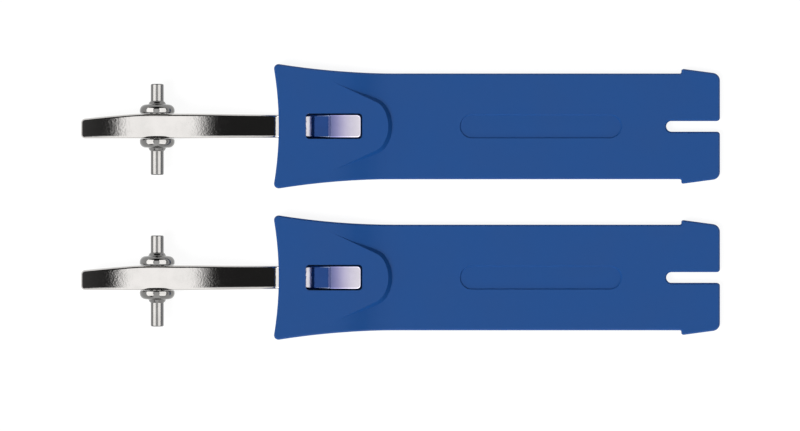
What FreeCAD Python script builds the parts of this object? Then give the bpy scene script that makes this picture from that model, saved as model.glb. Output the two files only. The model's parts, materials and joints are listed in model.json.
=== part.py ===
import FreeCAD, Part
import math
import os

# A pair of moulded boot buckle straps, each with a sprung steel lever that carries a T cross pin.
# Millimetres. X runs along the straps, lever tips toward -X; Z is up from the surface they lie on.
# The origin is on that surface, in the middle of the pair.

V = FreeCAD.Vector

# --- the pair ---
strapLength = 148.9        # head corners to the free end
leverReach = 64.1          # lever tip to the head corners
unitPitch = 50.4           # between the two straps' middle lines

# --- strap, plan ---
beltWidth = 35.2
flareWidth = 42.0          # across the head corners
flareLength = 41.0         # from the head corners to where the sides run parallel
headSag = 1.9              # depth of the hollow head end
headCornerRadius = 1.5
earLength = 12.7           # barbs at the free end
earWidth = 38.4            # across the barbs
earTipWidth = 35.0         # across the free end, before its corners are rounded
earRadius = 0.6
endCornerRadius = 2.6
slotLength = 17.9
slotWidth = 3.6
slotMouthRadius = 1.0

# --- strap, heights ---
beltThickness = 3.6
headThickness = 5.6
rampLength = 21.0          # over which the back rises to the head
rimBevel = 0.5             # along the upper edges

# --- raised nose round the window ---
noseFromHead = 39.7        # head corners to the crest
noseRadius = 12.5          # of its front
noseFrontSweep = 30.0      # degrees to each side, before its corners
noseCornerRadius = 7.5
noseSpread = 25.0          # degrees, how its sides spread toward the head
noseSlope = 1.3            # from its foot in to its crest

# --- window and tunnel for the lever ---
windowFromHead = 10.9
windowLength = 18.8
windowWidth = 8.5
windowRadius = 1.2
floorThickness = 0.8
tunnelPlay = 0.4           # above and below the lever

# --- long shallow recess on the back ---
recessFromHead = 62.2
recessLength = 54.0
recessWidth = 8.0
recessDepth = 0.5
recessBevel = 0.35

# --- catch teeth on the underside ---
teethFromHead = 50.0
toothPitch = 3.2
toothCount = 24
toothWidth = 13.0
toothDepth = 0.9
toothLead = 2.3            # length of a tooth's slope

# --- lever ---
leverThickness = 1.3
leverWidth = 8.2           # at the pin
leverTipWidth = 6.9        # narrower on the left side only
leverNeckWidth = 7.8       # in the tunnel and the window
leverTipRadius = 1.3
leverEdgeBevel = 0.4
leverUnderChamfer = 0.2
leverParallel = 18.0       # length of its widest part
pinFromTip = 25.6
archRadius = 100.0         # from the pin to the tip
neckRun = 12.2             # straight run down to the strap
neckBend = 3.0             # inside radius where the lever turns level
tunnelLead = 0.95          # level run before the bridge
tongueRise = 24.0          # degrees
tongueBend = 3.0
tongueCrown = 9.0
tongueSlope = 4.6          # length of the straight slope
tongueSetback = 0.8        # from the window's far end
tongueLead = 0.9           # level run between the bridge and the slope
tongueRadius = 1.4

# --- cross pin, lugs and collars ---
pinDiameter = 4.3          # of the free ends
journalDiameter = 4.8      # in the lugs and the collars
pinLength = 30.3
pinShift = -1.1            # middle of the pin to the strap's middle line
pinChamfer = 0.45
pinPlay = 0.05             # in the lugs, on the radius
pinRoof = 0.2              # between the pin and the lever above it
lugThickness = 1.2
lugWall = 1.5              # of metal round the pin
collarDiameter = 11.6
collarThickness = 3.0
collarPlay = 0.1           # to the lugs
collarBevel = 0.5
collarFit = 0.01           # on the radius
hubDiameter = 6.6
hubLength = 0.9
hubWall = 0.35             # at the cone's small end

# --- places that follow ---
tipX = -(strapLength + leverReach) / 2
headX = tipX + leverReach
endX = headX + strapLength
pinX = tipX + pinFromTip
pinZ = collarDiameter / 2
noseX = headX + noseFromHead
windowX0 = headX + windowFromHead
windowX1 = windowX0 + windowLength
tunnelTop = floorThickness + leverThickness + 2 * tunnelPlay
leverLowTop = floorThickness + tunnelPlay + leverThickness
leverHighTop = pinZ + journalDiameter / 2 + pinRoof + leverThickness
lugInside = leverWidth / 2 - lugThickness
hubEnd = leverWidth / 2 + collarPlay + collarThickness + hubLength
tall = 40.0                # cutting height, beyond every piece


def line(a, b):
    return Part.makeLine(V(*a), V(*b))


def arc(a, m, b):
    return Part.Arc(V(*a), V(*m), V(*b)).toShape()


def faceOf(edges):
    return Part.Face(Part.Wire(Part.__sortEdges__(edges)))


def ease(p, q, place):
    """Two equal arcs from p to q, level at both ends. place turns a flat pair into a point in space."""
    dx, dy = q[0] - p[0], q[1] - p[1]
    r = (dx * dx + dy * dy) / (4 * abs(dy))
    half = math.asin(dx / (2 * r)) / 2
    s = 1 if dy > 0 else -1
    out, drop = r * math.sin(half), s * r * (1 - math.cos(half))
    mid = place(p[0] + dx / 2, p[1] + dy / 2)
    return [
        arc(place(*p), place(p[0] + out, p[1] + drop), mid),
        arc(mid, place(q[0] - out, q[1] - drop), place(*q)),
    ]


def uprights(solid, places, slack=0.05):
    """The upright edges of a prism that stand at the given plan points."""
    found = []
    for e in solid.Edges:
        a, b = e.Vertexes[0].Point, e.Vertexes[-1].Point
        if abs(a.x - b.x) < 1e-6 and abs(a.y - b.y) < 1e-6 and abs(a.z - b.z) > 1e-6:
            if any(abs(a.x - x) < slack and abs(a.y - y) < slack for x, y in places):
                found.append(e)
    return found


def level(solid, z, test=lambda box: True, slack=1e-4):
    """The edges that lie at one height and pass a test of their box."""
    return [
        e
        for e in solid.Edges
        if abs(e.BoundBox.ZMin - z) < slack and abs(e.BoundBox.ZMax - z) < slack and test(e.BoundBox)
    ]


# --- strap ---
def strapPrism():
    beltHalf, flareHalf = beltWidth / 2, flareWidth / 2
    beltX = headX + flareLength
    rise = flareHalf - beltHalf
    flareR = (flareLength**2 + rise**2) / (2 * rise)
    half = math.asin(flareLength / flareR) / 2
    midX, midY = beltX - flareR * math.sin(half), beltHalf + flareR * (1 - math.cos(half))
    earX = endX - earLength
    slotX = endX - slotLength + slotWidth / 2
    edges = [arc((headX, -flareHalf, 0), (headX + headSag, 0, 0), (headX, flareHalf, 0))]
    for s in (1, -1):
        run = [
            (beltX, s * beltHalf, 0),
            (earX, s * beltHalf, 0),
            (earX, s * earWidth / 2, 0),
            (endX, s * earTipWidth / 2, 0),
            (endX, s * slotWidth / 2, 0),
            (slotX, s * slotWidth / 2, 0),
        ]
        edges.append(arc((headX, s * flareHalf, 0), (midX, s * midY, 0), run[0]))
        edges += [line(a, b) for a, b in zip(run, run[1:])]
    edges.append(arc((slotX, slotWidth / 2, 0), (slotX - slotWidth / 2, 0, 0), (slotX, -slotWidth / 2, 0)))
    prism = faceOf(edges).extrude(V(0, 0, tall))
    for radius, x, y in (
        (headCornerRadius, headX, flareHalf),
        (earRadius, earX, beltHalf),
        (earRadius, earX, earWidth / 2),
        (endCornerRadius, endX, earTipWidth / 2),
        (slotMouthRadius, endX, slotWidth / 2),
    ):
        prism = prism.makeFillet(radius, uprights(prism, [(x, y), (x, -y)]))
    return prism


def strapSide():
    """Side view of the back: level belt, easy S up to the head."""
    x1, x0 = noseX, noseX - rampLength
    left, right = headX - 5, endX + 5
    edges = [
        line((left, 0, 0), (right, 0, 0)),
        line((right, 0, 0), (right, 0, beltThickness)),
        line((right, 0, beltThickness), (x1, 0, beltThickness)),
        line((x0, 0, headThickness), (left, 0, headThickness)),
        line((left, 0, headThickness), (left, 0, 0)),
    ]
    edges += ease((x0, headThickness), (x1, beltThickness), lambda x, z: (x, 0, z))
    side = faceOf(edges).extrude(V(0, 2 * flareWidth, 0))
    side.translate(V(0, -flareWidth, 0))
    return side


def noseOutline(inset, z):
    """Plan of the nose at one height: a round front, tighter corners and sides that spread toward the head."""
    a1, a2 = math.radians(noseFrontSweep), math.radians(90 - noseSpread)
    cx, r = noseX - noseRadius, noseRadius - inset
    kx, ky = cx + (noseRadius - noseCornerRadius) * math.cos(a1), (noseRadius - noseCornerRadius) * math.sin(a1)
    c = noseCornerRadius - inset
    bx = noseX - rampLength - 2.0

    def on(px, py, radius, a):
        return px + radius * math.cos(a), py + radius * math.sin(a)

    tx, ty = on(kx, ky, c, a2)
    by = ty + (tx - bx) * math.tan(math.radians(noseSpread))
    fx, fy = on(cx, 0, r, a1)
    mx, my = on(kx, ky, c, (a1 + a2) / 2)
    return Part.Wire(
        [
            line((bx, -by, z), (tx, -ty, z)),
            arc((tx, -ty, z), (mx, -my, z), (fx, -fy, z)),
            arc((fx, -fy, z), (cx + r, 0, z), (fx, fy, z)),
            arc((fx, fy, z), (mx, my, z), (tx, ty, z)),
            line((tx, ty, z), (bx, by, z)),
            line((bx, by, z), (bx, -by, z)),
        ]
    )


def nose():
    """The raised nose, its wall leaning in from the foot on the belt to the crest at head height."""
    foot = noseOutline(0, beltThickness)
    root = Part.Face(noseOutline(0, beltThickness / 2)).extrude(V(0, 0, beltThickness / 2))
    return root.fuse(Part.makeLoft([foot, noseOutline(noseSlope, headThickness)], True, True))


def stadium(x0, length, width, z0, z1):
    r = width / 2
    a, b = x0 + r, x0 + length - r
    edges = [
        line((a, -r, z0), (b, -r, z0)),
        arc((b, -r, z0), (b + r, 0, z0), (b, r, z0)),
        line((b, r, z0), (a, r, z0)),
        arc((a, r, z0), (a - r, 0, z0), (a, -r, z0)),
    ]
    return faceOf(edges).extrude(V(0, 0, z1 - z0))


def teeth():
    """A rack of saw-tooth notches, the steep sides toward the free end."""
    x0 = headX + teethFromHead
    edges = [
        line((x0, 0, 0), (x0 + toothLead, 0, toothDepth)),
        line((x0 + toothLead, 0, toothDepth), (x0 + toothLead, 0, 0)),
        line((x0 + toothLead, 0, 0), (x0, 0, 0)),
    ]
    notch = faceOf(edges).extrude(V(0, toothWidth, 0))
    notch.translate(V(0, -toothWidth / 2, 0))
    row = []
    for i in range(toothCount):
        n = notch.copy()
        n.translate(V(i * toothPitch, 0, 0))
        row.append(n)
    return Part.makeCompound(row)


def window():
    hole = Part.makeBox(windowLength, windowWidth, tall, V(windowX0, -windowWidth / 2, floorThickness))
    corners = [(x, y) for x in (windowX0, windowX1) for y in (-windowWidth / 2, windowWidth / 2)]
    return hole.makeFillet(windowRadius, uprights(hole, corners))


def tunnel():
    x0 = headX - 1
    return Part.makeBox(
        windowX0 + windowLength / 2 - x0, windowWidth, tunnelTop - floorThickness, V(x0, -windowWidth / 2, floorThickness)
    )


def strap():
    body = strapPrism().common(strapSide())
    top = [
        e
        for e in body.Edges
        if e.BoundBox.ZMin > beltThickness - 0.01 and not (abs(e.BoundBox.YMin + e.BoundBox.YMax) < 0.1 and e.BoundBox.XLength < 1e-6)
    ]
    body = body.makeChamfer(rimBevel, top)
    body = body.fuse(nose())
    recess = stadium(headX + recessFromHead, recessLength, recessWidth, beltThickness - recessDepth, tall)
    recess = recess.makeChamfer(recessBevel, level(recess, beltThickness - recessDepth))
    for tool in (window(), tunnel(), recess, teeth()):
        body = body.cut(tool)
    return body.removeSplitter()


# --- lever ---
def brims(body, side):
    """The border of all the faces that look up (side 1) or down (side -1)."""
    seen = {}
    for f in body.Faces:
        u0, u1, v0, v1 = f.ParameterRange
        if side * f.normalAt((u0 + u1) / 2, (v0 + v1) / 2).z > 0.7:
            for e in f.Edges:
                seen.setdefault(e.hashCode(), []).append(e)
    return [es[0] for es in seen.values() if len(es) == 1]


def bentStrip(start, heading, steps, thickness):
    """Side view of a bent strip. A step is (length, None) for a straight run, or (radius, turn in radians) for a bend of its
    top side, where a turn to the left has its middle above the strip."""
    x, z, a = start[0], start[1], heading
    tops, bottoms = [], []

    def under(px, pz, ang):
        return px + thickness * math.sin(ang), pz - thickness * math.cos(ang)

    def put(edges, p, q, m=None):
        p, q = (p[0], 0, p[1]), (q[0], 0, q[1])
        edges.append(line(p, q) if m is None else arc(p, (m[0], 0, m[1]), q))

    first = (x, z)
    for size, turn in steps:
        if turn is None:
            nx, nz = x + size * math.cos(a), z + size * math.sin(a)
            put(tops, (x, z), (nx, nz))
            put(bottoms, under(x, z, a), under(nx, nz, a))
            x, z = nx, nz
            continue
        s = 1 if turn > 0 else -1
        cx, cz = x - s * size * math.sin(a), z + s * size * math.cos(a)

        def at(ang):
            return cx + s * size * math.sin(ang), cz - s * size * math.cos(ang)

        mid, end = at(a + turn / 2), at(a + turn)
        put(tops, (x, z), end, mid)
        put(bottoms, under(x, z, a), under(*end, a + turn), under(*mid, a + turn / 2))
        x, z, a = *end, a + turn
    last = (x, z)
    caps = []
    put(caps, first, under(*first, heading))
    put(caps, last, under(*last, a))
    return faceOf(tops + bottoms + caps)


def lever():
    # From the arch's crown over the pin, down a straight run, to the level part under the bridge. The turn of the crown
    # that joins them follows from how far and how low the level part lies.
    lowX = headX + headSag - tunnelLead
    across, down = lowX - pinX, leverHighTop - leverLowTop
    fall = 2 * math.atan2(down, across + neckRun)
    crownRadius = (across - neckRun * math.cos(fall)) / math.sin(fall) - neckBend
    spare = 1.0                # beyond the tip, cut off by the plan outline
    lift = math.asin((pinFromTip + spare) / archRadius)
    rise = math.radians(tongueRise)
    leadX = windowX0 + tongueLead
    topX = leadX + (tongueBend + tongueCrown) * math.sin(rise) + tongueSlope * math.cos(rise)
    tongueX = windowX1 - tongueSetback
    steps = [
        (archRadius, -lift),
        (crownRadius, -fall),
        (neckRun, None),
        (neckBend, fall),
        (leadX - lowX, None),
        (tongueBend, rise),
        (tongueSlope, None),
        (tongueCrown, -rise),
        (tongueX - topX, None),
    ]
    tipTop = leverHighTop - archRadius * (1 - math.cos(lift))
    body = bentStrip((tipX - spare, tipTop), lift, steps, leverThickness).extrude(V(0, 2 * leverWidth, 0))
    body.translate(V(0, -leverWidth, 0))

    # Plan outline: widest round the pin, easing in to the tunnel on both sides and to the tip on the left side.
    w, n = leverWidth / 2, leverNeckWidth / 2
    t = leverTipWidth - w
    wide0, wide1, neck = pinX - leverParallel / 2, pinX + leverParallel / 2, headX - 1.5
    reach, dip = wide0 - tipX, w - t
    r = (reach * reach + dip * dip) / (2 * dip)
    half = math.asin(reach / r) / 2
    mid = (wide0 - r * math.sin(half), w - r * (1 - math.cos(half)), -5)
    edges = [
        line((tipX, -w, -5), (tipX, t, -5)),
        arc((tipX, t, -5), mid, (wide0, w, -5)),
        line((wide0, w, -5), (wide1, w, -5)),
        line((tipX, -w, -5), (wide1, -w, -5)),
        line((tongueX, -n, -5), (tongueX, n, -5)),
    ]
    for s in (1, -1):
        edges += ease((wide1, s * w), (neck, s * n), lambda x, y: (x, y, -5))
        edges.append(line((neck, s * n, -5), (tongueX, s * n, -5)))
    plan = faceOf(edges).extrude(V(0, 0, tall))
    plan = plan.makeFillet(leverTipRadius, uprights(plan, [(tipX, t), (tipX, -w)]))
    plan = plan.makeFillet(tongueRadius, uprights(plan, [(tongueX, n), (tongueX, -n)]))
    body = body.common(plan)
    body = body.makeChamfer(leverEdgeBevel, brims(body, 1))
    body = body.makeChamfer(leverUnderChamfer, brims(body, -1))

    # Lugs folded down beside the pin.
    r = journalDiameter / 2 + pinPlay + lugWall
    for s in (1, -1):
        y = lugInside if s > 0 else -leverWidth / 2
        disc = Part.makeCylinder(r, lugThickness, V(pinX, y, pinZ), V(0, 1, 0))
        web = Part.makeBox(2 * r, lugThickness, leverHighTop - leverThickness / 2 - leverEdgeBevel / 2 - pinZ, V(pinX - r, y, pinZ))
        body = body.fuse(disc.fuse(web))
    bore = Part.makeCylinder(journalDiameter / 2 + pinPlay, 3 * leverWidth, V(pinX, -1.5 * leverWidth, pinZ), V(0, 1, 0))
    return body.cut(bore).removeSplitter()


# --- cross pin and collars ---
def crossPin():
    """A stepped pin, turned about Y: wide journal through the lugs and collars, a free end on each side."""
    y0, y1 = pinShift - pinLength / 2, pinShift + pinLength / 2
    r, journal = pinDiameter / 2, journalDiameter / 2
    step = journal - r
    points = [
        (0, y0, 0),
        (0, y0, r - pinChamfer),
        (0, y0 + pinChamfer, r),
        (0, -hubEnd - step, r),
        (0, -hubEnd, journal),
        (0, hubEnd, journal),
        (0, hubEnd + step, r),
        (0, y1 - pinChamfer, r),
        (0, y1, r - pinChamfer),
        (0, y1, 0),
        (0, y0, 0),
    ]
    pin = faceOf([line(a, b) for a, b in zip(points, points[1:])]).revolve(V(0, 0, 0), V(0, 1, 0), 360)
    pin.translate(V(pinX, 0, pinZ))
    return pin


def collar(side):
    """A turned collar: flange, its outer rim bevelled, then a short cone down to the pin."""
    bore = journalDiameter / 2 + collarFit
    rim = collarDiameter / 2
    y0 = leverWidth / 2 + collarPlay
    y1 = y0 + collarThickness
    points = [
        (0, y0, bore),
        (0, y0, rim),
        (0, y1 - collarBevel, rim),
        (0, y1, rim - collarBevel),
        (0, y1, hubDiameter / 2),
        (0, hubEnd, bore + hubWall),
        (0, hubEnd, bore),
        (0, y0, bore),
    ]
    body = faceOf([line(a, b) for a, b in zip(points, points[1:])]).revolve(V(0, 0, 0), V(0, 1, 0), 360)
    if side < 0:
        body = body.mirror(V(0, 0, 0), V(0, 1, 0))
    body.translate(V(pinX, 0, pinZ))
    return body


os.makedirs("parts", exist_ok=True)
pieces = {
    "strap": strap(),
    "lever": lever(),
    "cross_pin": crossPin(),
    "collar_left": collar(1),
    "collar_right": collar(-1),
}
for unit, y in ((1, unitPitch / 2), (2, -unitPitch / 2)):
    for name, solid in pieces.items():
        placed = solid.copy()
        placed.translate(V(0, y, 0))
        if placed.ShapeType == "Compound" and len(placed.Solids) == 1:
            placed = placed.Solids[0]
        print(name, unit, placed.ShapeType, placed.isValid(), round(placed.Volume, 2), len(placed.Faces))
        placed.exportStep("parts/%s_%d.step" % (name, unit))
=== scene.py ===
import json
import math

import bmesh
import bpy
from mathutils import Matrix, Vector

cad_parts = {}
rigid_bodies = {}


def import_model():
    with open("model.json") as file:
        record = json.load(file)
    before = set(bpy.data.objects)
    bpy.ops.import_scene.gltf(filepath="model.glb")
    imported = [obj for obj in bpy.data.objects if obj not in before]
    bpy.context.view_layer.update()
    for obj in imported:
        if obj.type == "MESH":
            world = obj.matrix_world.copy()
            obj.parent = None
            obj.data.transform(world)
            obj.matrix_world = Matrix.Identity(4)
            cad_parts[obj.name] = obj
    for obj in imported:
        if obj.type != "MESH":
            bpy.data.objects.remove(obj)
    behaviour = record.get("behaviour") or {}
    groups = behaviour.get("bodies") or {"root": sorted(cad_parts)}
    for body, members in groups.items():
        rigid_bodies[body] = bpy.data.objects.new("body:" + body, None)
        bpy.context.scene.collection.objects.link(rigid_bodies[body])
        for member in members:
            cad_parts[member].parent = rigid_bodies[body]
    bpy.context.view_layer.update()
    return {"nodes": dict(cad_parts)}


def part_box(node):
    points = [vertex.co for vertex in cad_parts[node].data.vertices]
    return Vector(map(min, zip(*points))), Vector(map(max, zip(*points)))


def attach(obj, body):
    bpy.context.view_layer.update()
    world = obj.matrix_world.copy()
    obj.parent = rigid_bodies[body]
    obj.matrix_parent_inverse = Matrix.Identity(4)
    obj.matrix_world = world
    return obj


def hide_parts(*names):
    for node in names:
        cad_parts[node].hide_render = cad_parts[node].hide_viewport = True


# A pair of moulded boot buckle straps with bright levers and T pins.
# Metres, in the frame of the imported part: X along the straps, Z up from the table.

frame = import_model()
mm = 0.001
units = (1, 2)
evenWeight = 60  # how far the larger faces set the normals of a smoothed piece

# how near two places are to count as one, and what counts as no narrowing at all
near = {"merge": 1e-6, "row": 2e-6, "station": 5e-6, "ring": 2e-5, "end": 0.5 * mm, "level": 0.1 * mm, "share": 1e-4}


# make one object selected and active
def only(obj):
    bpy.ops.object.select_all(action="DESELECT")
    obj.select_set(True)
    bpy.context.view_layer.objects.active = obj


def edit(obj):
    only(obj)
    bpy.ops.object.mode_set(mode="EDIT")
    bpy.ops.mesh.select_all(action="DESELECT")


def leave():
    bpy.ops.object.mode_set(mode="OBJECT")


# select the verts, edges or faces of the edited mesh that pass a test
def pick(obj, kind, test):
    bpy.ops.mesh.select_mode(type={"verts": "VERT", "edges": "EDGE", "faces": "FACE"}[kind])
    bpy.ops.mesh.select_all(action="DESELECT")
    shape = bmesh.from_edit_mesh(obj.data)
    for item in getattr(shape, kind):
        if test(item):
            item.select_set(True)
    shape.select_flush_mode()
    bmesh.update_edit_mesh(obj.data)


# add a modifier, set it and apply it
def applied(obj, name, kind, **values):
    only(obj)
    mod = obj.modifiers.new(name, kind)
    for key, value in values.items():
        setattr(mod, key, value)
    bpy.ops.object.modifier_apply(modifier=name)


def smooth(obj, degrees):
    only(obj)
    bpy.ops.object.shade_smooth_by_angle(angle=math.radians(degrees))
    applied(obj, "evenNormals", "WEIGHTED_NORMAL", weight=evenWeight, keep_sharp=True)


def outward(obj):
    edit(obj)
    bpy.ops.mesh.select_all(action="SELECT")
    bpy.ops.mesh.remove_doubles(threshold=near["merge"])
    bpy.ops.mesh.normals_make_consistent(inside=False)
    leave()


# take a new primitive's place into its mesh and open it with all selected
def placed(obj):
    only(obj)
    bpy.ops.object.transform_apply(location=True, rotation=True, scale=True)
    edit(obj)
    bpy.ops.mesh.select_all(action="SELECT")


# a finished piece's material, the body that it rides on and the node that it stands for
def dressed(obj, mat, body, node=None):
    obj.data.materials.clear()
    obj.data.materials.append(mat)
    if node:
        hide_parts(node)
    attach(obj, body)
    print(obj.name, len(obj.data.polygons), "faces")


# fine surface grain: a coarse swell and a fine tooth in one height, and a mask of soft patches
grainInputs = {"Swell Scale": 900.0, "Tooth Scale": 4000.0, "Tooth Share": 0.3, "Patch Scale": 60.0}
grainDetail = {"Swell Scale": 2.0, "Tooth Scale": 3.0, "Patch Scale": 4.0}


def grainGroup():
    group = bpy.data.node_groups.new("fineGrain", "ShaderNodeTree")
    for name, value in grainInputs.items():
        group.interface.new_socket(name, in_out="INPUT", socket_type="NodeSocketFloat").default_value = value
    for name in ("Height", "Patches"):
        group.interface.new_socket(name, in_out="OUTPUT", socket_type="NodeSocketFloat")
    n, link = group.nodes, group.links.new
    start, end = n.new("NodeGroupInput"), n.new("NodeGroupOutput")
    coords = n.new("ShaderNodeTexCoord")
    noises = {}
    for name, detail in grainDetail.items():
        noise = noises[name] = n.new("ShaderNodeTexNoise")
        noise.inputs["Detail"].default_value = detail
        link(coords.outputs["Object"], noise.inputs["Vector"])
        link(start.outputs[name], noise.inputs["Scale"])
    mix = n.new("ShaderNodeMix")
    link(start.outputs["Tooth Share"], mix.inputs["Factor"])
    link(noises["Swell Scale"].outputs["Fac"], mix.inputs["A"])
    link(noises["Tooth Scale"].outputs["Fac"], mix.inputs["B"])
    link(mix.outputs["Result"], end.inputs["Height"])
    link(noises["Patch Scale"].outputs["Fac"], end.inputs["Patches"])
    return group


fineGrain = grainGroup()


# a material with its shader, ready for more nodes
def shaded(name):
    mat = bpy.data.materials.new(name)
    mat.use_nodes = True
    n = mat.node_tree.nodes
    return mat, n, mat.node_tree.links.new, n["Principled BSDF"]


# a colour ramp through two or more (place, colour) stops
def ramp(n, stops):
    made = n.new("ShaderNodeValToRGB")
    marks = made.color_ramp.elements
    marks[1].position = 1
    for place, colour in stops[1:-1]:
        marks.new(place).color = (*colour, 1)
    for mark, (place, colour) in ((marks[0], stops[0]), (marks[len(marks) - 1], stops[-1])):
        mark.position, mark.color = place, (*colour, 1)
    return made


def span(n, start, end, low, high):
    made = n.new("ShaderNodeMapRange")
    made.inputs["From Min"].default_value = start
    made.inputs["From Max"].default_value = end
    made.inputs["To Min"].default_value = low
    made.inputs["To Max"].default_value = high
    return made


# put grain, roughness and bump on a shader and give back its patches of colour
def grained(n, link, skin, look):
    grain = n.new("ShaderNodeGroup")
    grain.node_tree = fineGrain
    grain.inputs["Swell Scale"].default_value = look["swell"]
    grain.inputs["Tooth Scale"].default_value = look["tooth"]
    grain.inputs["Tooth Share"].default_value = look["toothShare"]
    grain.inputs["Patch Scale"].default_value = look["patch"]
    rough = span(n, *look["roughMask"], *look["rough"])
    link(grain.outputs["Patches"], rough.inputs["Value"])
    link(rough.outputs["Result"], skin.inputs["Roughness"])
    bump = n.new("ShaderNodeBump")
    bump.inputs["Strength"].default_value = look["bump"]
    bump.inputs["Distance"].default_value = look["bumpDepth"]
    link(grain.outputs["Height"], bump.inputs["Height"])
    link(bump.outputs["Normal"], skin.inputs["Normal"])
    tint = ramp(n, look["shades"])
    link(grain.outputs["Patches"], tint.inputs["Fac"])
    return tint.outputs["Color"]


bluePlastic = {
    "name": "bluePlastic",
    "shades": ((0.3, (0.0030, 0.0605, 0.243)), (0.7, (0.0045, 0.0655, 0.259))),  # (place in the mask, colour)
    "roughMask": (0.3, 0.7),
    "rough": (0.40, 0.48),
    "ior": 1.36,
    "swell": 700,
    "tooth": 5200,
    "toothShare": 0.45,
    "patch": 55,
    "bump": 0.06,
    "bumpDepth": 0.05 * mm,
}


def strapFinish(look):
    mat, n, link, skin = shaded(look["name"])
    link(grained(n, link, skin, look), skin.inputs["Base Color"])
    skin.inputs["IOR"].default_value = look["ior"]
    return mat


leverChrome = {
    "name": "leverChrome",
    "shades": ((0.3, (0.545, 0.530, 0.515)), (0.65, (0.590, 0.572, 0.557))),
    "roughMask": (0.3, 0.7),
    "rough": (0.10, 0.05),
    "swell": 1500,
    "tooth": 3400,
    "toothShare": 0.35,
    "patch": 240,
    "bump": 0.6,
    "bumpDepth": 0.045 * mm,
    "paintedReflection": None,
}
# painted reflection on the tongue: a cooler colour along X, blue where it would mirror the plastic round it and with
# a darker band, multiplied into its base colour: (place along X, colour)
tongueChrome = dict(
    leverChrome,
    name="tongueChrome",
    paintedReflection=(
        (-36 * mm, (1, 1, 1)),
        (-31 * mm, (0.88, 0.87, 0.96)),
        (-29 * mm, (0.46, 0.56, 0.80)),
        (-24.5 * mm, (0.44, 0.56, 0.80)),
        (-22.8 * mm, (0.20, 0.22, 0.47)),
        (-21 * mm, (0.33, 0.33, 0.60)),
        (-18.5 * mm, (0.58, 0.56, 0.79)),
        (-16.5 * mm, (0.73, 0.71, 0.88)),
        (-13.6 * mm, (0.86, 0.84, 0.96)),
    ),
)
pinChrome = dict(
    leverChrome,
    name="pinChrome",
    shades=((0.3, (0.175, 0.172, 0.168)), (0.65, (0.195, 0.192, 0.188))),
    rough=(0.14, 0.08),
    swell=500,
    bump=0.35,
    bumpDepth=0.008 * mm,
)
collarChrome = dict(
    leverChrome,
    name="collarChrome",
    shades=((0.3, (0.180, 0.177, 0.173)), (0.65, (0.225, 0.222, 0.218))),
    rough=(0.12, 0.06),
    swell=420,
    bump=0.4,
    bumpDepth=0.012 * mm,
)


def metalFinish(look):
    mat, n, link, skin = shaded(look["name"])
    colour = grained(n, link, skin, look)
    # a painted reflection, where the look has one: a colour ramp along the object's X, multiplied into the base
    # colour
    if look["paintedReflection"]:
        where, along = n.new("ShaderNodeTexCoord"), n.new("ShaderNodeSeparateXYZ")
        link(where.outputs["Object"], along.inputs["Vector"])
        start, end = look["paintedReflection"][0][0], look["paintedReflection"][-1][0]
        share = span(n, start, end, 0, 1)
        link(along.outputs["X"], share.inputs["Value"])
        shades = ramp(n, [((place - start) / (end - start), shade) for place, shade in look["paintedReflection"]])
        link(share.outputs["Result"], shades.inputs["Fac"])
        paintedReflection = n.new("ShaderNodeMix")
        paintedReflection.data_type, paintedReflection.blend_type = "RGBA", "MULTIPLY"
        paintedReflection.inputs[0].default_value = 1  # a mix node's colour sockets share their names, so they go by number
        link(colour, paintedReflection.inputs[6])
        link(shades.outputs["Color"], paintedReflection.inputs[7])
        colour = paintedReflection.outputs[2]
    link(colour, skin.inputs["Base Color"])
    skin.inputs["Metallic"].default_value = 1.0
    return mat


strapMat = strapFinish(bluePlastic)
leverMat = metalFinish(leverChrome)
tongueMat = metalFinish(tongueChrome)
pinMat = metalFinish(pinChrome)
collarMat = metalFinish(collarChrome)
print("materials ready")


# straps: the moulded solid, merged and with softened edges. Angles are in degrees.
moulding = {"flat": 0.6, "edgeAngle": 35, "edgeRound": 0.24 * mm, "segments": 3, "smoothAngle": 34}


def mouldedStrap(unit):
    node = frame["nodes"][f"strap_{unit}"]
    strap = node.copy()
    strap.data = node.data.copy()
    for key in list(strap.keys()):
        del strap[key]
    strap.parent = None
    strap.name = f"moulded_strap_{unit}"
    bpy.context.scene.collection.objects.link(strap)
    edit(strap)
    bpy.ops.mesh.select_all(action="SELECT")
    bpy.ops.mesh.customdata_custom_splitnormals_clear()
    bpy.ops.mesh.remove_doubles(threshold=near["merge"])
    bpy.ops.mesh.dissolve_limited(angle_limit=math.radians(moulding["flat"]), delimit={"NORMAL"})
    leave()
    applied(
        strap,
        "softEdges",
        "BEVEL",
        width=moulding["edgeRound"],
        segments=moulding["segments"],
        limit_method="ANGLE",
        angle_limit=math.radians(moulding["edgeAngle"]),
        use_clamp_overlap=True,
    )
    smooth(strap, moulding["smoothAngle"])
    dressed(strap, strapMat, f"strap_{unit}", f"strap_{unit}")


for unit in units:
    mouldedStrap(unit)
print("straps ready")


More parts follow.
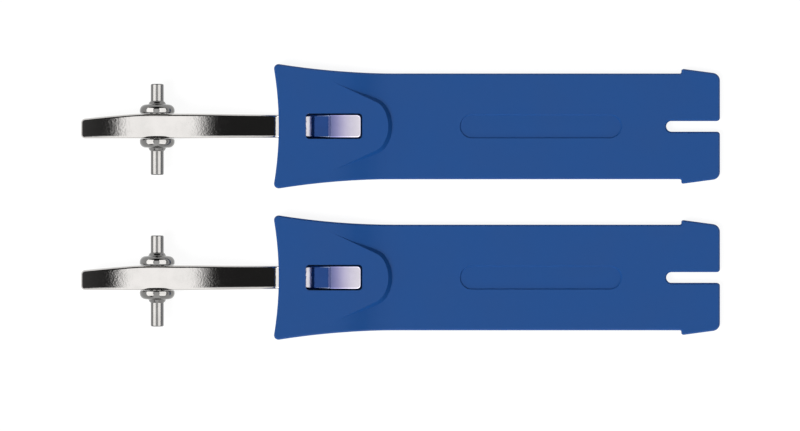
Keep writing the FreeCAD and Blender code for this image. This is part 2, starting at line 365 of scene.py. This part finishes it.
# levers: one bent strip, spun and extruded from the tip to the tongue, with folded lugs
strip = {
    "thick": 1.3 * mm,
    "width": 8.2 * mm,
    "tipWidth": 6.5 * mm,
    "taperFromPin": 5.25 * mm,   # where the left side starts to draw in toward the tip
    "taperPower": 1.2,
    "easeFromPin": 9.0 * mm,     # where both sides start to ease in toward the neck
    "neckWidth": 7.8 * mm,
    "neckFromHead": 1.5 * mm,    # how far outside the head they stop
    "archRadius": 100 * mm,
    "archSteps": 14,
    "crownSteps": 16,
    "neckRun": 12.2 * mm,
    "neckBend": 3.0 * mm,
    "bendSteps": 6,
    "lowTop": 2.5 * mm,          # top of the level run in the tunnel
    "levelFromHead": 0.95 * mm,  # where that run starts
    "windowFromHead": 10.9 * mm,
    "tongueLead": 0.3 * mm,
    "rise": 24,
    "tongueBend": 4.2 * mm,
    "slope": 4.89 * mm,
    "tongueCrown": 6.0 * mm,
    "tongueReach": 0.45 * mm,    # how far the tongue runs on toward the window's end
    "tipCorner": (1.3 * mm, 7),  # (size, segments)
    "tongueCorner": (1.4 * mm, 6),
    "rim": 1.05 * mm,
    "rimSegments": 7,
    "rimAngle": 50,
    "topFace": 0.5,              # a face whose normal rises past this is on top
    "fullRimTo": 1.0 * mm,       # further than this past the head's edge the rim is smaller
    "tongueShare": 0.5,          # share of the rim there
    "burrShare": 0.12,           # the under edges are only broken
    "tongueFrom": 4.0 * mm,      # the tongue is its own piece from here, inside the tunnel
    "smoothAngle": 40,
}
lug = {
    "thick": 1.17 * mm,
    "outset": 4.07 * mm,
    "radius": 3.95 * mm,
    "bore": 2.45 * mm,
    "top": 8.75 * mm,
    "sides": 64,
    "edge": 0.12 * mm,
    "edgeSegments": 2,
    "edgeAngle": 60,
}


# the places that a lever is built from, out of its own, its pin's and its strap's box
def leverPlaces(unit):
    low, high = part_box(f"lever_{unit}")
    pinLow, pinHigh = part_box(f"cross_pin_{unit}")
    return {
        "tipX": low.x,
        "endX": high.x + strip["tongueReach"],
        "top": high.z,
        "midY": (low.y + high.y) / 2,
        "pinX": (pinLow.x + pinHigh.x) / 2,
        "pinZ": (pinLow.z + pinHigh.z) / 2,
        "headX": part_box(f"strap_{unit}")[0].x,
    }


# the strip at one width: its end face at the tip, walked along to the tongue's end
def stripRun(name, at):
    thick, midY = strip["thick"], at["midY"]
    lift = math.asin((at["pinX"] - at["tipX"]) / strip["archRadius"])
    tipTop = at["top"] - strip["archRadius"] * (1 - math.cos(lift))
    levelX = at["headX"] + strip["levelFromHead"]
    across, down = levelX - at["pinX"], at["top"] - strip["lowTop"]
    fall = 2 * math.atan2(down, across + strip["neckRun"])
    crownRadius = (across - strip["neckRun"] * math.cos(fall)) / math.sin(fall) - strip["neckBend"]
    rise = math.radians(strip["rise"])
    leadX = at["headX"] + strip["windowFromHead"] + strip["tongueLead"]
    topX = leadX + (strip["tongueBend"] + strip["tongueCrown"]) * math.sin(rise) + strip["slope"] * math.cos(rise)

    bpy.ops.object.select_all(action="DESELECT")
    bpy.ops.mesh.primitive_plane_add(size=1)
    obj = bpy.context.object
    obj.name = name
    edit(obj)
    bpy.ops.mesh.select_all(action="SELECT")
    bpy.ops.transform.resize(value=(thick, strip["width"], 1))
    leave()
    obj.rotation_euler = (0, -math.pi / 2 - lift, 0)
    obj.location = (at["tipX"] + thick / 2 * math.sin(lift), midY, tipTop - thick / 2 * math.cos(lift))
    placed(obj)

    # (length, None) is a straight run, (radius, turn) a bend of the top side
    x, z, heading = at["tipX"], tipTop, lift
    for size, turn, steps in (
        (strip["archRadius"], -lift, strip["archSteps"]),
        (crownRadius, -fall, strip["crownSteps"]),
        (strip["neckRun"], None, 1),
        (strip["neckBend"], fall, strip["bendSteps"]),
        (leadX - levelX, None, 1),
        (strip["tongueBend"], rise, strip["bendSteps"]),
        (strip["slope"], None, 1),
        (strip["tongueCrown"], -rise, 2 * strip["bendSteps"]),
        (at["endX"] - topX, None, 1),
    ):
        if turn is None:
            move = (size * math.cos(heading), 0, size * math.sin(heading))
            bpy.ops.mesh.extrude_region_move(TRANSFORM_OT_translate={"value": move})
            x, z = x + move[0], z + move[2]
            continue
        side = 1 if turn > 0 else -1
        middle = (x - side * size * math.sin(heading), midY, z + side * size * math.cos(heading))
        bpy.ops.mesh.spin(steps=steps, angle=turn, center=middle, axis=(0, 1, 0))
        heading += turn
        x = middle[0] + side * size * math.sin(heading)
        z = middle[2] - side * size * math.cos(heading)
    leave()
    outward(obj)
    return obj


# the plan outline: widest round the pin, easing in to the neck, and on the left side only to the tip
def drawIn(obj, at):
    width, wideFrom, wideTo = strip["width"], at["pinX"] - strip["taperFromPin"], at["pinX"] + strip["easeFromPin"]
    neckX = at["headX"] - strip["neckFromHead"]

    def widthAt(x):
        if x < wideFrom:
            t = (wideFrom - x) / (wideFrom - at["tipX"])
            return width - (width - strip["tipWidth"]) * t ** strip["taperPower"]
        if x < wideTo:
            return width
        t = min(1.0, (x - wideTo) / (neckX - wideTo))
        return width - (width - strip["neckWidth"]) * t * t * (3 - 2 * t)

    edit(obj)
    rows = sorted({round(v.co.x, 6) for v in bmesh.from_edit_mesh(obj.data).verts})
    for row in rows:
        share = widthAt(row) / width
        if share < 1 - near["share"]:
            anchor = at["midY"] - width / 2 if row < wideFrom else at["midY"]
            pick(obj, "verts", lambda v: abs(v.co.x - row) < near["row"])
            bpy.ops.transform.resize(value=(1, share, 1), center_override=(row, anchor, 0))
    leave()


# round the corners of both ends across the thickness, and then all the rims
def softRims(obj, at):
    def endEdge(e, endX):
        a, b = (v.co for v in e.verts)
        return max(abs(a.x - endX), abs(b.x - endX)) < near["end"] and abs(a.y - b.y) < near["level"]

    edit(obj)
    for endX, (size, segments) in ((at["tipX"], strip["tipCorner"]), (at["endX"], strip["tongueCorner"])):
        pick(obj, "edges", lambda e: endEdge(e, endX))
        bpy.ops.mesh.bevel(offset=size, segments=segments, affect="EDGES", clamp_overlap=False)
    shape = bmesh.from_edit_mesh(obj.data)
    shape.normal_update()
    layers = shape.edges.layers.float
    weight = layers.get("bevel_weight_edge") or layers.new("bevel_weight_edge")
    for e in shape.edges:
        if len(e.link_faces) == 2 and e.calc_face_angle() > math.radians(strip["rimAngle"]):
            above = max(f.normal.z for f in e.link_faces) > strip["topFace"]
            outside = (e.verts[0].co.x + e.verts[1].co.x) / 2 < at["headX"] + strip["fullRimTo"]
            e[weight] = (1 if outside else strip["tongueShare"]) if above else strip["burrShare"]
    bmesh.update_edit_mesh(obj.data)
    leave()
    applied(
        obj,
        "rims",
        "BEVEL",
        width=strip["rim"],
        segments=strip["rimSegments"],
        limit_method="WEIGHT",
        use_clamp_overlap=False,
    )


# a D-shaped cheek: a ring round the bore, its upper half drawn up into the strip
def foldedLug(name, at, side):
    x, y, z = at["pinX"], at["midY"] + side * lug["outset"], at["pinZ"]
    bpy.ops.object.select_all(action="DESELECT")
    bpy.ops.mesh.primitive_circle_add(
        vertices=lug["sides"],
        radius=lug["bore"],
        location=(x, y, z),
        rotation=(math.pi / 2, 0, 0),
        fill_type="NOTHING",
    )
    cheek = bpy.context.object
    cheek.name = name
    placed(cheek)
    bpy.ops.mesh.extrude_edges_move()
    grow = lug["radius"] / lug["bore"]
    bpy.ops.transform.resize(value=(grow, 1, grow), center_override=(x, y, z))
    betweenRings = (lug["bore"] + lug["radius"]) / 2
    pick(
        cheek,
        "verts",
        lambda v: v.co.z > z + near["level"] and math.hypot(v.co.x - x, v.co.z - z) > betweenRings,
    )
    bpy.ops.transform.resize(value=(1, 1, 0), center_override=(x, y, lug["top"]))
    bpy.ops.mesh.select_all(action="SELECT")
    bpy.ops.mesh.extrude_region_move(TRANSFORM_OT_translate={"value": (0, -side * lug["thick"], 0)})
    leave()
    outward(cheek)
    applied(
        cheek,
        "cheekEdges",
        "BEVEL",
        width=lug["edge"],
        segments=lug["edgeSegments"],
        limit_method="ANGLE",
        angle_limit=math.radians(lug["edgeAngle"]),
    )
    return cheek


def lever(unit):
    at = leverPlaces(unit)
    obj = stripRun(f"bright_lever_{unit}", at)
    drawIn(obj, at)
    softRims(obj, at)
    edit(obj)
    pick(obj, "faces", lambda f: f.calc_center_median().x > at["headX"] + strip["tongueFrom"])
    bpy.ops.mesh.separate(type="SELECTED")
    leave()
    tongue = next(o for o in bpy.context.selected_objects if o is not obj)
    tongue.name = f"lever_tongue_{unit}"
    smooth(tongue, strip["smoothAngle"])
    dressed(tongue, tongueMat, f"lever_{unit}")
    cheeks = [foldedLug(f"cheek_{unit}", at, side) for side in (1, -1)]
    only(obj)
    for cheek in cheeks:
        cheek.select_set(True)
    bpy.ops.object.join()
    smooth(obj, strip["smoothAngle"])
    dressed(obj, leverMat, f"lever_{unit}", f"lever_{unit}")


for unit in units:
    lever(unit)
print("levers ready")


turning = {"sides": 72, "smoothAngle": 35}


# Turn a piece about the line through (x, z) along Y. A station is (way out from y, radius), and side is
# its direction. A round is (way out, radius, size, segments), on the edge at that station.
def turned(name, x, y, z, side, stations, rounds, hollow=False):
    extrude = bpy.ops.mesh.extrude_edges_move if hollow else bpy.ops.mesh.extrude_region_move
    first, radius = stations[0]
    bpy.ops.object.select_all(action="DESELECT")
    bpy.ops.mesh.primitive_circle_add(
        vertices=turning["sides"],
        radius=radius,
        location=(x, y + side * first, z),
        rotation=(math.pi / 2, 0, 0),
        fill_type="NOTHING" if hollow else "NGON",
    )
    obj = bpy.context.object
    obj.name = name
    placed(obj)
    for (d0, r0), (d1, r1) in zip(stations, stations[1:]):
        extrude()
        if d1 != d0:
            bpy.ops.transform.translate(value=(0, side * (d1 - d0), 0))
        if r1 != r0:
            bpy.ops.transform.resize(value=(r1 / r0, 1, r1 / r0), center_override=(x, y + side * d1, z))
    leave()
    outward(obj)

    def onRing(v, d, r):
        away = math.hypot(v.co.x - x, v.co.z - z)
        return abs(side * (v.co.y - y) - d) < near["station"] and abs(away - r) < near["ring"]

    for d, r, size, segments in rounds:
        edit(obj)
        pick(obj, "edges", lambda e: all(onRing(v, d, r) for v in e.verts))
        bpy.ops.mesh.bevel(offset=size, segments=segments, affect="EDGES", clamp_overlap=False)
        leave()
    smooth(obj, turning["smoothAngle"])
    return obj


tPin = {
    "free": 2.15 * mm,
    "journal": 2.4 * mm,
    "shoulder": 8.1 * mm,        # end of the journal, from the middle of the lever
    "tipRound": (0.45 * mm, 4),  # (size, segments)
    "stepRound": (0.2 * mm, 3),
}


def crossPin(unit):
    low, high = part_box(f"cross_pin_{unit}")
    midY = leverPlaces(unit)["midY"]
    radius, journal, reach = tPin["free"], tPin["journal"], tPin["shoulder"]
    step = reach + (journal - radius)
    right, left = low.y - midY, high.y - midY
    obj = turned(
        f"turned_pin_{unit}",
        (low.x + high.x) / 2,
        midY,
        (low.z + high.z) / 2,
        1,
        [(right, radius), (-step, radius), (-reach, journal), (reach, journal), (step, radius), (left, radius)],
        [
            (right, radius, *tPin["tipRound"]),
            (left, radius, *tPin["tipRound"]),
            (-step, radius, *tPin["stepRound"]),
            (step, radius, *tPin["stepRound"]),
        ],
    )
    dressed(obj, pinMat, f"cross_pin_{unit}", f"cross_pin_{unit}")


flange = {
    "radius": 5.8 * mm,
    "thick": 3.0 * mm,
    "bore": 2.41 * mm,
    "hubFoot": 2.95 * mm,
    "hubEnd": 2.55 * mm,
    "hubLength": 0.9 * mm,
    "innerRound": (0.6 * mm, 4),
    "shoulderRound": (2.0 * mm, 11),
    "footRound": (0.35 * mm, 3),
    "hubRound": (0.14 * mm, 3),
}


def collar(unit, name, side):
    low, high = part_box(f"{name}_{unit}")
    radius, bore, thick = flange["radius"], flange["bore"], flange["thick"]
    foot, hub, end = flange["hubFoot"], flange["hubEnd"], thick + flange["hubLength"]
    obj = turned(
        f"{name}_flange_{unit}",
        (low.x + high.x) / 2,
        low.y if side > 0 else high.y,
        (low.z + high.z) / 2,
        side,
        [(0, bore), (0, radius), (thick, radius), (thick, foot), (end, hub), (end, bore), (0, bore)],
        [
            (0, radius, *flange["innerRound"]),
            (thick, radius, *flange["shoulderRound"]),
            (thick, foot, *flange["footRound"]),
            (end, hub, *flange["hubRound"]),
        ],
        hollow=True,
    )
    dressed(obj, collarMat, f"cross_pin_{unit}", f"{name}_{unit}")


for unit in units:
    crossPin(unit)
    collar(unit, "collar_left", 1)
    collar(unit, "collar_right", -1)
print("pins and collars ready")


# join several values by one kind of sum, such as their product or the greatest of them
def joined(n, link, kind, *values):
    total = values[0]
    for value in values[1:]:
        made = n.new("ShaderNodeMath")
        made.operation = kind
        link(total, made.inputs[0])
        link(value, made.inputs[1])
        total = made.outputs["Value"]
    return total


def grey(level):
    return (level, level, level, 1)


# the table shows white to the camera and in the metal, and keeps a light shadow
table = {"size": 6.0, "drop": 0.05 * mm, "level": 0.86, "glow": 0.9, "shade": 0.16}


def tableTop():
    bpy.ops.object.select_all(action="DESELECT")
    bpy.ops.mesh.primitive_plane_add(size=table["size"], location=(0, 0, -table["drop"]))
    top = bpy.context.object
    top.name = "table_top"
    mat, n, link, skin = shaded("paleTable")
    n.remove(skin)
    paths = n.new("ShaderNodeLightPath").outputs
    seen = joined(n, link, "MAXIMUM", paths["Is Camera Ray"], paths["Is Glossy Ray"], paths["Is Transmission Ray"])
    plain, faint = n.new("ShaderNodeBsdfDiffuse"), n.new("ShaderNodeBsdfDiffuse")
    plain.inputs["Color"].default_value = grey(table["level"])
    faint.inputs["Color"].default_value = grey(table["shade"])
    glow = n.new("ShaderNodeEmission")
    glow.inputs["Strength"].default_value = table["glow"]
    white, mix = n.new("ShaderNodeAddShader"), n.new("ShaderNodeMixShader")
    link(faint.outputs["BSDF"], white.inputs[0])
    link(glow.outputs["Emission"], white.inputs[1])
    link(seen, mix.inputs["Fac"])
    link(plain.outputs["BSDF"], mix.inputs[1])
    link(white.outputs["Shader"], mix.inputs[2])
    link(mix.outputs["Shader"], n["Material Output"].inputs["Surface"])
    top.data.materials.append(mat)


# the room round the object. A pair is where something starts and where it is full or gone, as a direction.
studio = {
    "panel": 1.45,             # level of the bright panel over the object
    "left": (-0.355, -0.26),
    "right": (0.18, 0.33),
    "far": (0.30, 0.54),       # toward +Y
    "dark": (0.075, 0.02),     # levels of the black cloth round it, on the left and elsewhere
    "darkTurn": (-0.7, -0.3),
    "horizon": 1.0,            # level of the pale wall
    "wall": (0.22, 0.36),
    "near": (-0.50, -0.30),    # toward -Y the pale wall reaches up to here
    "nearLeft": (-0.46, -0.36),
    "ground": (0.0, 0.02),
}


def studioWorld():
    world = bpy.context.scene.world or bpy.data.worlds.new("studio")
    bpy.context.scene.world = world
    world.use_nodes = True
    n, link = world.node_tree.nodes, world.node_tree.links.new
    n.clear()
    coords, parts = n.new("ShaderNodeTexCoord"), n.new("ShaderNodeSeparateXYZ")
    link(coords.outputs["Generated"], parts.inputs["Vector"])

    def fade(axis, turn, low=0.0, high=1.0):
        made = span(n, *turn, low, high)
        made.interpolation_type = "SMOOTHSTEP"
        link(parts.outputs[axis], made.inputs["Value"])
        return made.outputs["Result"]

    def product(*values):
        return joined(n, link, "MULTIPLY", *values)

    above = fade("Z", studio["ground"])
    overX = product(fade("X", studio["left"]), fade("X", studio["right"], 1, 0))
    level = n.new("ShaderNodeMapRange")
    link(product(overX, fade("Y", studio["far"], 1, 0), above), level.inputs["Value"])
    link(fade("X", studio["darkTurn"], *studio["dark"]), level.inputs["To Min"])
    level.inputs["To Max"].default_value = studio["panel"]
    nearWall = product(fade("Y", studio["near"], studio["horizon"], 0), fade("X", studio["nearLeft"]), above)
    wall = fade("Z", studio["wall"], studio["horizon"], 0)
    plain, out = n.new("ShaderNodeBackground"), n.new("ShaderNodeOutputWorld")
    plain.inputs["Color"].default_value = grey(1)
    link(joined(n, link, "MAXIMUM", level.outputs["Result"], nearWall, wall), plain.inputs["Strength"])
    link(plain.outputs["Background"], out.inputs["Surface"])


sunLamp = {"strength": 1.9, "spread": 28, "tilt": 38, "turn": -60}


def windowLight():
    data = bpy.data.lights.new("window_light", "SUN")
    data.energy = sunLamp["strength"]
    data.angle = math.radians(sunLamp["spread"])
    lamp = bpy.data.objects.new("window_light", data)
    lamp.rotation_euler = (math.radians(sunLamp["tilt"]), 0, math.radians(sunLamp["turn"]))
    lamp.visible_glossy = False
    bpy.context.scene.collection.objects.link(lamp)


# Cards of light for one finish only. Turn is from upright toward +X and lean toward +Y. Breadth is how
# wide the card looks from the metal. These are in degrees, and reach and length in metres.
over = leverPlaces(1)
tongueCard = {"x": over["headX"] + 14 * mm, "lean": 0, "reach": 6, "length": 1.84, "finishes": (tongueMat,)}
rimCard = dict(tongueCard, breadth=90, reach=1.5, length=1.53, colour=(0.97, 0.97, 1.0), level=1.9)
pinCard = {
    "x": over["pinX"],
    "lean": 0,
    "reach": 1.5,
    "length": 2.6,
    "colour": (1.0, 0.99, 0.98),
    "finishes": (pinMat, collarMat),
}
cards = (
    dict(tongueCard, name="blue_card", turn=-46, breadth=24, colour=(0.04, 0.30, 1.0), level=0.46),
    dict(tongueCard, name="lilac_card", turn=-26.5, breadth=15, colour=(0.62, 0.64, 1.0), level=0.75),
    dict(rimCard, name="far_rim_card", turn=-20, lean=42),
    dict(rimCard, name="near_rim_card", turn=-20, lean=-42),
    dict(rimCard, name="end_rim_card", turn=42, breadth=54, length=2.6),
    dict(pinCard, name="left_strip", turn=-47.5, breadth=50, level=4.3),
    dict(pinCard, name="right_strip", turn=41.5, breadth=48, level=3.9),
)


def lightCard(card):
    turn, lean, reach = math.radians(card["turn"]), math.radians(card["lean"]), card["reach"]
    wide = 2 * reach * math.tan(math.radians(card["breadth"] / 2))
    data = bpy.data.lights.new(card["name"], "AREA")
    data.shape = "RECTANGLE"
    data.size, data.size_y = wide, card["length"]
    data.color = card["colour"]
    data.energy = math.pi * wide * card["length"] * card["level"]
    lamp = bpy.data.objects.new(card["name"], data)
    aloft = reach * math.cos(lean)
    lamp.location = (card["x"] + aloft * math.sin(turn), reach * math.sin(lean), aloft * math.cos(turn))
    lamp.rotation_euler = (-lean, turn, 0)
    lit = bpy.data.collections.new(card["name"])
    for obj in bpy.data.objects:
        if obj.type == "MESH" and obj.active_material in card["finishes"]:
            lit.objects.link(obj)
    lamp.light_linking.receiver_collection = lit
    bpy.context.scene.collection.objects.link(lamp)


overhead = {"place": (-0.00013, -0.00453, 1.4845), "lens": 200, "sensor": 36, "clip": (0.01, 20)}


def camera():
    data = bpy.data.cameras.new("overhead")
    data.lens = overhead["lens"]
    data.sensor_width = overhead["sensor"]
    data.clip_start, data.clip_end = overhead["clip"]
    cam = bpy.data.objects.new("overhead", data)
    cam.location = overhead["place"]
    bpy.context.scene.collection.objects.link(cam)
    bpy.context.scene.camera = cam


tableTop()
studioWorld()
windowLight()
for card in cards:
    lightCard(card)
camera()
bpy.context.scene.view_settings.view_transform = "Standard"
print("stage ready")
